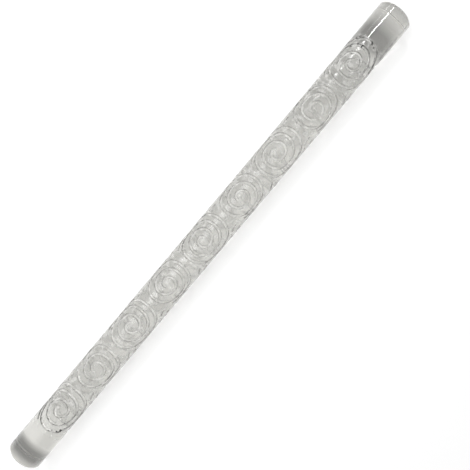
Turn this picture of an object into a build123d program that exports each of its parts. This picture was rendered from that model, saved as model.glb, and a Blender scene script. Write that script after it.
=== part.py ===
from build123d import *
from build123d.topology import SkipClean
import math
import os

# A rolling pin that is one clear rod, with overlapping swirls engraved all round its middle.
# X runs along the rod and Z is up. The origin is under its middle, on the table that it lies on.
# A place on the rod's side is given as on the unrolled side: so far along X from the middle, and so
# far around from the top line, towards +Y.

# Sizes of the rod, in millimetres
rod_length = 330
rod_diameter = 21
plain_end_length = 22.8
end_chamfer = 0.8

# How much lower than the plain ends the engraved middle's lands lie, once they are polished
land_relief = 0.05

# Sizes of the grooves. A ball-nosed cutter makes them, and its middle keeps a steady height.
groove_depth = 0.7
cutter_radius = 1.15
groove_pitch = 4.7
least_land = 0.35
shortest_groove = 3.2
curl_radius = 1.6

# Sizes of the swirls, out to the middle of their outermost line
large_swirl_radius = 15
medium_swirl_radius = 13
small_swirl_radius = 9.8
hidden_swirl_radius = 13.6
wanted_repeat_length = 63

# The rod's engraved side is kept as rings of about this width, so that no one face is very large.
# Their number is odd, so that no seam between two of them runs through the centre of the middle swirl.
ring_width = 20

# The cutter's path is made of pairs of arcs. A pair is at most this long and turns at most this much.
pair_length = 8
pair_turn = 1
samples_per_pair = 20

# One repeat of the pattern, with what lies in front first: the place along the repeat and around the
# rod, the swirl's radius, where its line starts in its first turn, and which way it turns.
swirl_place_shares = [
    (0.00, 0.00, large_swirl_radius, 0.10, 1),
    (0.50, -0.01, medium_swirl_radius, 0.55, -1),
    (0.27, 0.30, large_swirl_radius, 0.80, 1),
    (0.61, -0.43, medium_swirl_radius, 0.30, 1),
    (0.84, 0.34, small_swirl_radius, 0.00, -1),
    (0.10, -0.45, small_swirl_radius, 0.60, -1),
    (0.30, -0.24, small_swirl_radius, 0.20, 1),
    (0.83, -0.27, small_swirl_radius, 0.75, -1),
    (0.60, 0.24, small_swirl_radius, 0.45, 1),
    (0.98, -0.36, hidden_swirl_radius, 0.15, 1),
    (0.42, -0.44, hidden_swirl_radius, 0.90, -1),
    (0.74, 0.16, hidden_swirl_radius, 0.35, -1),
    (0.12, 0.18, hidden_swirl_radius, 0.65, 1),
    (0.66, -0.13, hidden_swirl_radius, 0.50, 1),
]

# Sizes that follow from those above
rod_radius = rod_diameter / 2
girth = math.pi * rod_diameter
land_radius = rod_radius - land_relief
path_radius = land_radius - groove_depth + cutter_radius
groove_width = 2 * math.sqrt(cutter_radius**2 - (cutter_radius - groove_depth) ** 2)
middle_end = rod_length / 2 - plain_end_length
pattern_end = middle_end - least_land - groove_width / 2
row_length = 2 * (pattern_end - large_swirl_radius)
repeat_count = max(1, round(row_length / wanted_repeat_length))
repeat_length = row_length / repeat_count


def whole_swirls():
    """Every swirl that fits whole between the plain ends, front first."""
    found = []
    for along_share, around_share, radius, turn_share, hand in swirl_place_shares:
        for repeat in range(-1, repeat_count + 1):
            along = (repeat + along_share - repeat_count / 2) * repeat_length
            reach = abs(along) + radius
            if reach < pattern_end or math.isclose(reach, pattern_end):
                found.append((along, around_share * girth, radius, 2 * math.pi * turn_share, hand))
    return found


def line_point(swirl, turned):
    """The place, direction and radius of a swirl's line, once it has turned so far from its start."""
    along, around, radius, start, hand = swirl
    widening = groove_pitch / (2 * math.pi)
    reach = curl_radius + widening * turned
    if reach > radius:
        reach = radius
        widening = 0
    angle = start + hand * turned
    place = (along + reach * math.cos(angle), around + reach * math.sin(angle))
    direction = (
        widening * math.cos(angle) - hand * reach * math.sin(angle),
        widening * math.sin(angle) + hand * reach * math.cos(angle),
    )
    return place, direction, reach


def is_clear(place, direction, swirls_in_front):
    """Whether a groove here, both its sides included, stays a land away from the swirls in front."""
    scale = groove_width / 2 / math.hypot(*direction)
    for side in (-1, 0, 1):
        along = place[0] - side * direction[1] * scale
        around = place[1] + side * direction[0] * scale
        for other in swirls_in_front:
            apart = math.hypot(along - other[0], math.remainder(around - other[1], girth))
            if apart < other[2] + groove_width / 2 + least_land:
                return False
    return True


def visible_lines(swirl, swirls_in_front):
    """The stretches of a swirl's line that nothing in front hides, each as closely spaced points."""
    closing_turn = 1 - (groove_width + least_land) / groove_pitch
    whole_turn = 2 * math.pi * ((swirl[2] - curl_radius) / groove_pitch + closing_turn)
    stretches = [[]]
    turned = 0
    while turned < whole_turn:
        place, direction, reach = line_point(swirl, turned)
        if is_clear(place, direction, swirls_in_front):
            stretches[-1].append((place, direction))
        elif stretches[-1]:
            stretches.append([])
        turned += min(pair_length / reach, pair_turn) / samples_per_pair
    return [line for line in stretches if line_length(line) > shortest_groove]


def line_length(line):
    """The length of a line along its points."""
    return sum(math.dist(line[i][0], line[i + 1][0]) for i in range(len(line) - 1))


def path_point(place, direction):
    """The cutter's place over a point of the unrolled side, and the direction that it moves in."""
    angle = place[1] / rod_radius
    outward = Vector(0, math.sin(angle), math.cos(angle))
    sideways = Vector(0, math.cos(angle), -math.sin(angle))
    axis_point = Vector(place[0], 0, rod_radius)
    stretch = path_radius / rod_radius
    heading = Vector(direction[0], 0, 0) + sideways * (direction[1] * stretch)
    return axis_point + outward * path_radius, heading.normalized()


def tangent_arcs(line):
    """Arcs that follow a line over the rod and pass smoothly into each other: start, heading, end."""
    pair_count = max(1, round((len(line) - 1) / samples_per_pair))
    knots = [round(i * (len(line) - 1) / pair_count) for i in range(pair_count + 1)]
    for low, high in zip(knots, knots[1:]):
        first, leaving = path_point(*line[low])
        last, arriving = path_point(*line[high])
        chord = last - first
        both = leaving + arriving
        bend = 2 * (1 - leaving.dot(arriving))
        slope = chord.dot(both)
        reach = (math.sqrt(slope**2 + bend * chord.dot(chord)) - slope) / bend
        middle = (first + last + (leaving - arriving) * reach) / 2
        half_way = (middle - first).normalized()
        yield first, leaving, middle
        yield middle, half_way * (2 * leaving.dot(half_way)) - leaving, last


def arc_sweep(start, heading, end):
    """What a ball-nosed cutter's ball sweeps along one arc: a piece of a ring."""
    chord = end - start
    half_turn = math.acos(heading.dot(chord.normalized()))
    across = heading.cross(chord).normalized()
    arc_radius = chord.length / (2 * math.sin(half_turn))
    centre = start + across.cross(heading) * arc_radius
    section = Face(Wire.make_circle(cutter_radius, Plane(origin=start, x_dir=across, z_dir=heading)))
    return Solid.revolve(section, 2 * math.degrees(half_turn), Axis(centre, across))


def groove_tool(line):
    """One closed solid for a whole groove: its arcs' round walls, and a flat disc at either end."""
    pieces = [arc_sweep(*arc) for arc in tangent_arcs(line)]
    walls = [face for piece in pieces for face in piece.faces().filter_by(GeomType.TORUS)]
    start_point = path_point(*line[0])[0]
    end_point = path_point(*line[-1])[0]
    start_disc = pieces[0].faces().filter_by(GeomType.PLANE).sort_by_distance(start_point)[0]
    end_disc = pieces[-1].faces().filter_by(GeomType.PLANE).sort_by_distance(end_point)[0]
    return Solid(Shell(walls + [start_disc, end_disc]))


def rod_stretch(low, high, radius):
    """A plain stretch of the rod, from one place along it to another."""
    middle = Location(((low + high) / 2, 0, rod_radius), (0, 90, 0))
    return middle * Cylinder(radius, high - low)


def plain_end(side):
    """The plain stretch at one end, with its outer edge chamfered."""
    inner_end = side * middle_end
    outer_end = side * rod_length / 2
    stretch = rod_stretch(min(inner_end, outer_end), max(inner_end, outer_end), rod_radius)
    rims = stretch.edges().filter_by(GeomType.CIRCLE).sort_by(Axis.X)
    return chamfer(rims[0 if side < 0 else -1], end_chamfer)


def plain_rod():
    """The rod before it is engraved: one solid, with its middle's side in rings."""
    ring_count = 2 * math.ceil(middle_end / ring_width) - 1
    places = [middle_end * (2 * i / ring_count - 1) for i in range(ring_count + 1)]
    rings = [rod_stretch(low, high, land_radius) for low, high in zip(places, places[1:])]
    return plain_end(-1) + rings + plain_end(1)


def embossed_rod():
    """The whole pin: a rod with chamfered ends, less all its grooves."""
    swirls = whole_swirls()
    tools = []
    for i in range(len(swirls)):
        for line in visible_lines(swirls[i], swirls[:i]):
            tools.append(groove_tool(line))
    print("swirls", len(swirls), "grooves", len(tools))
    with SkipClean():
        return plain_rod() - tools


os.makedirs("parts", exist_ok=True)
export_step(embossed_rod(), "parts/embossed_rod.step")
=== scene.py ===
import bpy
from mathutils import Matrix, Vector

# The looks of a clear embossed rolling pin, lying on a white table. All lengths are in metres, in the
# model's frame: X runs along the rod, Z is up, and the rod lies on the table at Z = 0. A pair of
# numbers for a ramp is where it is nothing and where it is full.

NODE = "embossed_rod"
UP = Vector((0, 0, 1))
BLACK = (0.0, 0.0, 0.0, 1.0)
WHITE = (1.0, 1.0, 1.0, 1.0)

# The camera, from the picture's own perspective
CAMERA_PLACE = Vector((0.0254, -0.0375, 0.2964))
CAMERA_TARGET = Vector((0.0132, -0.0110, 0.0105))
PICTURE_UP = Vector((0.7635, 0.6452, 0.0274))
LENS_MM = 38.58
SENSOR_MM = 36
NEAREST_SEEN = 0.01

# The rod's own sizes, which its material follows
ROD_RADIUS = 0.0105
HALF_LENGTH = 0.165
CHAMFER = 0.0008
PATTERN_END = 0.1422
PATTERN_FADE = 0.0004

# How deep under the plain ends' surface a groove's parts start and are full, from its brink down
LIP_STARTS = (0.00012, 0.00016)
LIP_ENDS = (0.00034, 0.00026)
CUT_DEPTHS = (0.00013, 0.00030)
FLOOR_DEPTHS = (0.00050, 0.00062)

# The acrylic: clear with a faint warm cast, polished at the ends, rougher and rippled in the middle.
# A noise is so many lumps per metre, with so many finer layers.
INDEX = 1.49
CLEAR = (0.985, 0.980, 0.945, 1.0)
# The grey on the grooves' walls is painted shade, which draws the rings as darker lines
PAINTED_FLANK_SHADE = (0.24, 0.235, 0.215, 1.0)
FROST = (0.90, 0.895, 0.87, 1.0)
POLISHED_ROUGHNESS = 0.02
ENGRAVED_ROUGHNESS = 0.16
GRAIN_ROUGHNESS = 0.02
GRAIN_NOISE = (2600, 4)
RIPPLE_NOISE = (900, 3)
RIPPLE_HEIGHT = 0.00012
RIPPLE_STRENGTH = 0.5
PLAIN_RIPPLE = 0.04

# How much of a groove's worn floor and lips, of the chips along its brink and of the haze that the
# polishing left on the engraved middle is frosted
FLOOR_FROST = 0.5
LIP_FROST = 0.9
WEAR_NOISE = (380, 4)
WEAR_RANGE = (0.44, 0.60)
LEAST_WEAR = 0.1
CHIP_FROST = 0.9
CHIP_NOISE = (1500, 1)
CHIP_RANGE = (0.56, 0.60)
HAZE_FROST = 0.42
HAZE_NOISE = (300, 5)
HAZE_RANGE = (0.49, 0.68)

# The small dark glints in the grooves of the last swirl at each end
GLINT = (0.03, 0.03, 0.03, 1.0)
GLINT_NOISE = (850, 0)
GLINT_RANGE = (0.66, 0.70)
GLINT_PLACES = (0.122, 0.134)

# The chamfers at the ends, which are matt. Their normals lean along X by about 0.7.
RIM_FROST = 0.75
RIM_GLOW = (0.95, 0.945, 0.92, 1.0)
RIM_LEAN_STARTS = (0.5, 0.6)
RIM_LEAN_ENDS = (0.95, 0.85)
RIM_FADE = 0.0004

# What light the rod's surfaces let through to the table
SHADOW_TINT = (0.5, 0.5, 0.5, 1.0)

# The table: how pale it is, and how much it is lifted where it is seen
TABLE_SIDE = 3.0
TABLE_GREY = 0.82
TABLE_LIFT = 0.25

# The close shade on the table under the rod, which deepens slowly towards the pattern's right end,
# and the light gathered beside the pattern's left end
SHADE_EDGE = (0.009, 0.006)
BODY_SHADE = 0.38
END_SHADE = 0.37
FALL_SHADE = 0.14
FALL_STARTS = (0.0750, 0.1200)
FALL_ENDS = (0.1450, 0.1380)
RIGHT_SHADE_STARTS = (0.1405, 0.1440)
RIGHT_SHADE_ENDS = (0.1650, 0.1535)
LEFT_SHADE_STARTS = (-0.1578, -0.1620)
LEFT_GLEAM = 1.1
LEFT_GLEAM_STARTS = (-0.1310, -0.1490)
LEFT_GLEAM_ENDS = (-0.1600, -0.1565)
LEFT_GLEAM_SIDE = (0.0007, 0.0018)

# The room: its light from level upwards, and how pale it is where it is seen
ROOM_RISE = (0.0, 0.8)
ROOM_LIGHT = (0.36, 0.45)
ROOM_SEEN = (0.60, 0.75)

# Each lamp's place, what it faces, its width and height, and its power in watts: a broad soft one
# above, and two beyond the far side that make the bright streak and a faint one on the right end
LAMPS = {
    "top_lamp": ((-0.10, 0.25, 0.88), (0, 0, 0), (0.6, 0.5), 4.2),
    "far_lamp": ((0.57, 0.58, 0.92), (0.14, 0, ROD_RADIUS), (0.28, 0.10), 3.1),
    "low_lamp": ((0.63, 0.90, 0.55), (0.15, 0, ROD_RADIUS), (0.12, 0.05), 0.1),
}


def node_material(name):
    """A new node material with nothing in it but its output."""
    material = bpy.data.materials.new(name)
    material.use_nodes = True
    material.node_tree.nodes.clear()
    output = material.node_tree.nodes.new("ShaderNodeOutputMaterial")
    return material, material.node_tree, output


def math_node(tree, operation, *values):
    """A math node. Each of its inputs is a number or a socket."""
    node = tree.nodes.new("ShaderNodeMath")
    node.operation = operation
    for socket, value in zip(node.inputs, values):
        if isinstance(value, bpy.types.NodeSocket):
            tree.links.new(value, socket)
        else:
            socket.default_value = value
    return node.outputs["Value"]


def product(tree, *values):
    """All the values multiplied."""
    result = values[0]
    for value in values[1:]:
        result = math_node(tree, "MULTIPLY", result, value)
    return result


def inverse(tree, value):
    """One less the value."""
    return math_node(tree, "SUBTRACT", 1.0, value)


def half_way(tree, value):
    """One where a value is a half, and nothing where it is zero or one."""
    return product(tree, value, inverse(tree, value), 4.0)


def ramp(tree, value, start, full, low_out=0.0, high_out=1.0):
    """A value mapped from one range to another, and kept inside it."""
    node = tree.nodes.new("ShaderNodeMapRange")
    node.inputs["From Min"].default_value = start
    node.inputs["From Max"].default_value = full
    node.inputs["To Min"].default_value = low_out
    node.inputs["To Max"].default_value = high_out
    tree.links.new(value, node.inputs["Value"])
    return node.outputs["Result"]


def noise(tree, place, lumps_per_metre, finer_layers):
    """Noise over the object's own place."""
    node = tree.nodes.new("ShaderNodeTexNoise")
    node.inputs["Scale"].default_value = lumps_per_metre
    node.inputs["Detail"].default_value = finer_layers
    tree.links.new(place, node.inputs["Vector"])
    return node.outputs["Fac"]


def colour_mix(tree, share, first, second):
    """A mix of two colours. The node has sockets for each kind of data, and these are the colours'."""
    node = tree.nodes.new("ShaderNodeMix")
    node.data_type = "RGBA"
    factor, colour_a, colour_b = node.inputs[0], node.inputs[6], node.inputs[7]
    tree.links.new(share, factor)
    colour_a.default_value = first
    colour_b.default_value = second
    return node.outputs[2]


def plain_shader(tree, kind, colour):
    """A simple shader of one colour."""
    node = tree.nodes.new(kind)
    node.inputs["Color"].default_value = colour
    return node


def shader_mix(tree, share, first, second):
    """A mix of two shaders."""
    node = tree.nodes.new("ShaderNodeMixShader")
    tree.links.new(share, node.inputs[0])
    tree.links.new(first.outputs[0], node.inputs[1])
    tree.links.new(second.outputs[0], node.inputs[2])
    return node


def split_place(tree):
    """The place on an object, and its X, Y and Z."""
    place = tree.nodes.new("ShaderNodeTexCoord").outputs["Object"]
    split = tree.nodes.new("ShaderNodeSeparateXYZ")
    tree.links.new(place, split.inputs[0])
    return place, split.outputs["X"], split.outputs["Y"], split.outputs["Z"]


def seen_directly(tree, path):
    """One where a ray comes straight from the camera, off gloss or through something clear."""
    glossy = math_node(tree, "MAXIMUM", path.outputs["Is Camera Ray"], path.outputs["Is Glossy Ray"])
    return math_node(tree, "MAXIMUM", glossy, path.outputs["Is Transmission Ray"])


def groove_parts(tree, engraved, y, z):
    """How much a point is cut at all, on a groove's floor, and on its lip, from its depth."""
    height = math_node(tree, "SUBTRACT", z, ROD_RADIUS)
    squares = math_node(tree, "ADD", product(tree, y, y), product(tree, height, height))
    depth = math_node(tree, "SUBTRACT", ROD_RADIUS, math_node(tree, "SQRT", squares))
    cut = product(tree, engraved, ramp(tree, depth, *CUT_DEPTHS))
    floor = product(tree, engraved, ramp(tree, depth, *FLOOR_DEPTHS))
    lip = product(tree, engraved, ramp(tree, depth, *LIP_STARTS), ramp(tree, depth, *LIP_ENDS))
    return cut, floor, lip


def chamfered_rim(tree, shape, along):
    """One on the chamfers at the rod's ends."""
    split = tree.nodes.new("ShaderNodeSeparateXYZ")
    tree.links.new(shape.outputs["True Normal"], split.inputs[0])
    lean = math_node(tree, "ABSOLUTE", split.outputs["X"])
    leaning = product(tree, ramp(tree, lean, *RIM_LEAN_STARTS), ramp(tree, lean, *RIM_LEAN_ENDS))
    inner_edge = HALF_LENGTH - CHAMFER
    return product(tree, leaning, ramp(tree, along, inner_edge - RIM_FADE, inner_edge))


def clear_shader(tree, place, engraved, cut, painted_flank_shade):
    """Clear acrylic, a little rougher and rippled in the engraved middle, with painted shade in grey on
    the grooves' walls.

    The ripple is full in the grooves, about half on the lands between them, and nearly gone on
    the plain ends."""
    shader = tree.nodes.new("ShaderNodeBsdfPrincipled")
    shader.inputs["Transmission Weight"].default_value = 1.0
    shader.inputs["IOR"].default_value = INDEX
    # The base colour turns to the painted shade's grey on the grooves' walls
    tree.links.new(colour_mix(tree, painted_flank_shade, CLEAR, PAINTED_FLANK_SHADE), shader.inputs["Base Color"])
    grain = product(tree, noise(tree, place, *GRAIN_NOISE), GRAIN_ROUGHNESS)
    even = ramp(tree, engraved, 0, 1, POLISHED_ROUGHNESS, ENGRAVED_ROUGHNESS)
    tree.links.new(math_node(tree, "ADD", even, grain), shader.inputs["Roughness"])
    bump = tree.nodes.new("ShaderNodeBump")
    bump.inputs["Strength"].default_value = RIPPLE_STRENGTH
    bump.inputs["Distance"].default_value = RIPPLE_HEIGHT
    worked = ramp(tree, math_node(tree, "ADD", engraved, cut), 0, 2, PLAIN_RIPPLE, 1.0)
    ripple = product(tree, noise(tree, place, *RIPPLE_NOISE), worked)
    tree.links.new(ripple, bump.inputs["Height"])
    tree.links.new(bump.outputs["Normal"], shader.inputs["Normal"])
    return shader


def frosted_share(tree, place, engraved, cut, floor, lip):
    """How frosted a point is, by the wear on floors and lips, the chips, and the haze."""
    edges = math_node(tree, "ADD", product(tree, floor, FLOOR_FROST), product(tree, lip, LIP_FROST))
    worn = product(tree, edges, ramp(tree, noise(tree, place, *WEAR_NOISE), *WEAR_RANGE, LEAST_WEAR, 1.0))
    chipped = ramp(tree, noise(tree, place, *CHIP_NOISE), *CHIP_RANGE)
    chips = product(tree, half_way(tree, cut), chipped, CHIP_FROST)
    haze = product(tree, engraved, ramp(tree, noise(tree, place, *HAZE_NOISE), *HAZE_RANGE), HAZE_FROST)
    return math_node(tree, "MAXIMUM", math_node(tree, "MAXIMUM", worn, chips), haze)


def acrylic():
    """The rod's material: clear, frosted where the cutter has been, with a few dark glints near the
    pattern's ends, and matt on its end chamfers.

    A surface seen from inside the rod has no frost, painted shade or glints. To a lamp the rod is only a
    veil, so that its shadow is soft and pale."""
    material, tree, output = node_material("clear_acrylic_engraved")
    place, x, y, z = split_place(tree)
    along = math_node(tree, "ABSOLUTE", x)
    engraved = ramp(tree, along, PATTERN_END + PATTERN_FADE, PATTERN_END)
    cut, floor, lip = groove_parts(tree, engraved, y, z)
    shape = tree.nodes.new("ShaderNodeNewGeometry")
    outside = inverse(tree, shape.outputs["Backfacing"])
    # Painted shade: the grooves' walls, between the cut's start and the floor, are greyed where seen from
    # outside
    painted_flank_shade = product(tree, math_node(tree, "SUBTRACT", cut, floor), outside)
    surface = clear_shader(tree, place, engraved, cut, painted_flank_shade)
    share = product(tree, frosted_share(tree, place, engraved, cut, floor, lip), outside)
    surface = shader_mix(tree, share, surface, plain_shader(tree, "ShaderNodeBsdfDiffuse", FROST))
    glints = ramp(tree, noise(tree, place, *GLINT_NOISE), *GLINT_RANGE)
    share = product(tree, cut, outside, ramp(tree, along, *GLINT_PLACES), glints)
    surface = shader_mix(tree, share, surface, plain_shader(tree, "ShaderNodeBsdfDiffuse", GLINT))
    share = product(tree, chamfered_rim(tree, shape, along), RIM_FROST)
    surface = shader_mix(tree, share, surface, plain_shader(tree, "ShaderNodeBsdfTranslucent", RIM_GLOW))
    veil = plain_shader(tree, "ShaderNodeBsdfTransparent", SHADOW_TINT)
    path = tree.nodes.new("ShaderNodeLightPath")
    surface = shader_mix(tree, path.outputs["Is Shadow Ray"], surface, veil)
    tree.links.new(surface.outputs[0], output.inputs["Surface"])
    return material


def table_under_rod(tree, x, y, through):
    """What share of its light the table keeps under the rod, and how its lift changes there.

    Both differ from one only where the table is seen through the rod. The shade deepens slowly
    along the right part of the pattern. It is deepest beside the pattern on the right end, and
    under the edge of the left end."""
    under = product(tree, ramp(tree, math_node(tree, "ABSOLUTE", y), *SHADE_EDGE), through)
    right = product(tree, ramp(tree, x, *RIGHT_SHADE_STARTS), ramp(tree, x, *RIGHT_SHADE_ENDS))
    ends = product(tree, math_node(tree, "ADD", right, ramp(tree, x, *LEFT_SHADE_STARTS)), END_SHADE)
    fall = product(tree, ramp(tree, x, *FALL_STARTS), ramp(tree, x, *FALL_ENDS), FALL_SHADE)
    shade = math_node(tree, "ADD", math_node(tree, "ADD", ends, fall), BODY_SHADE)
    kept = inverse(tree, product(tree, shade, under))
    gleam = product(tree, ramp(tree, x, *LEFT_GLEAM_STARTS), ramp(tree, x, *LEFT_GLEAM_ENDS))
    gleam = product(tree, gleam, ramp(tree, y, *LEFT_GLEAM_SIDE), under, LEFT_GLEAM)
    return kept, product(tree, kept, math_node(tree, "ADD", 1.0, gleam))


def white_table():
    """A plain pale table that reads as white, and keeps the rod's shadow."""
    mesh = bpy.data.meshes.new("table")
    side = TABLE_SIDE
    corners = [(-side, -side, 0), (side, -side, 0), (side, side, 0), (-side, side, 0)]
    mesh.from_pydata(corners, [], [(0, 1, 2, 3)])
    table = bpy.data.objects.new("table", mesh)
    bpy.context.scene.collection.objects.link(table)
    material, tree, output = node_material("white_table")
    path = tree.nodes.new("ShaderNodeLightPath")
    _, x, y, _ = split_place(tree)
    kept, lift_share = table_under_rod(tree, x, y, path.outputs["Is Transmission Ray"])
    paper = tree.nodes.new("ShaderNodeBsdfDiffuse")
    pale = (TABLE_GREY, TABLE_GREY, TABLE_GREY, 1.0)
    tree.links.new(colour_mix(tree, kept, BLACK, pale), paper.inputs["Color"])
    lift = plain_shader(tree, "ShaderNodeEmission", WHITE)
    strength = product(tree, seen_directly(tree, path), lift_share, TABLE_LIFT)
    tree.links.new(strength, lift.inputs["Strength"])
    both = tree.nodes.new("ShaderNodeAddShader")
    tree.links.new(paper.outputs[0], both.inputs[0])
    tree.links.new(lift.outputs[0], both.inputs[1])
    tree.links.new(both.outputs[0], output.inputs["Surface"])
    mesh.materials.append(material)


def room():
    """A plain room. It is paler where it is seen, straight or in something that shines or is clear."""
    world = bpy.data.worlds.new("room")
    bpy.context.scene.world = world
    world.use_nodes = True
    tree = world.node_tree
    tree.nodes.clear()
    direction = tree.nodes.new("ShaderNodeTexCoord").outputs["Generated"]
    split = tree.nodes.new("ShaderNodeSeparateXYZ")
    tree.links.new(direction, split.inputs[0])
    strength = tree.nodes.new("ShaderNodeMix")
    strength.data_type = "FLOAT"
    path = tree.nodes.new("ShaderNodeLightPath")
    tree.links.new(seen_directly(tree, path), strength.inputs["Factor"])
    tree.links.new(ramp(tree, split.outputs["Z"], *ROOM_RISE, *ROOM_LIGHT), strength.inputs["A"])
    tree.links.new(ramp(tree, split.outputs["Z"], *ROOM_RISE, *ROOM_SEEN), strength.inputs["B"])
    background = plain_shader(tree, "ShaderNodeBackground", WHITE)
    tree.links.new(strength.outputs["Result"], background.inputs["Strength"])
    output = tree.nodes.new("ShaderNodeOutputWorld")
    tree.links.new(background.outputs[0], output.inputs["Surface"])


def facing(place, target, up):
    """The placement of something that looks from a place to a target, with its top towards up."""
    back = (place - target).normalized()
    right = up.cross(back).normalized()
    top = back.cross(right)
    turn = Matrix((right, top, back)).transposed().to_4x4()
    return Matrix.Translation(place) @ turn


def area_lamp(name, place, target, size, power):
    """A flat lamp that faces a target, with its first side level. It isn't seen through the rod."""
    lamp = bpy.data.lights.new(name, "AREA")
    lamp.shape = "RECTANGLE"
    lamp.size, lamp.size_y = size
    lamp.energy = power
    thing = bpy.data.objects.new(name, lamp)
    bpy.context.scene.collection.objects.link(thing)
    thing.visible_transmission = False
    thing.matrix_world = facing(Vector(place), Vector(target), UP)


def camera():
    """The camera at the photograph's place, with its lens."""
    data = bpy.data.cameras.new("camera")
    data.sensor_width = SENSOR_MM
    data.lens = LENS_MM
    data.clip_start = NEAREST_SEEN
    thing = bpy.data.objects.new("camera", data)
    bpy.context.scene.collection.objects.link(thing)
    thing.matrix_world = facing(CAMERA_PLACE, CAMERA_TARGET, PICTURE_UP)
    bpy.context.scene.camera = thing


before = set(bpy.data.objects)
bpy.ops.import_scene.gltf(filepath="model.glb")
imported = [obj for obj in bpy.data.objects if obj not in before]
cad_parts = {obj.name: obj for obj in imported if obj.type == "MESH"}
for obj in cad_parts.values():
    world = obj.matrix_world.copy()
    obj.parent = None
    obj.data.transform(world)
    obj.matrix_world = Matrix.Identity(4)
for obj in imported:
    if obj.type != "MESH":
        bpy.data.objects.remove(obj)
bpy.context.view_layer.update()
camera()
white_table()
room()
for lamp_name, lamp_facts in LAMPS.items():
    area_lamp(lamp_name, *lamp_facts)
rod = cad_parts[NODE]
rod.data.materials[0] = acrylic()
bpy.context.scene.view_settings.view_transform = "Standard"
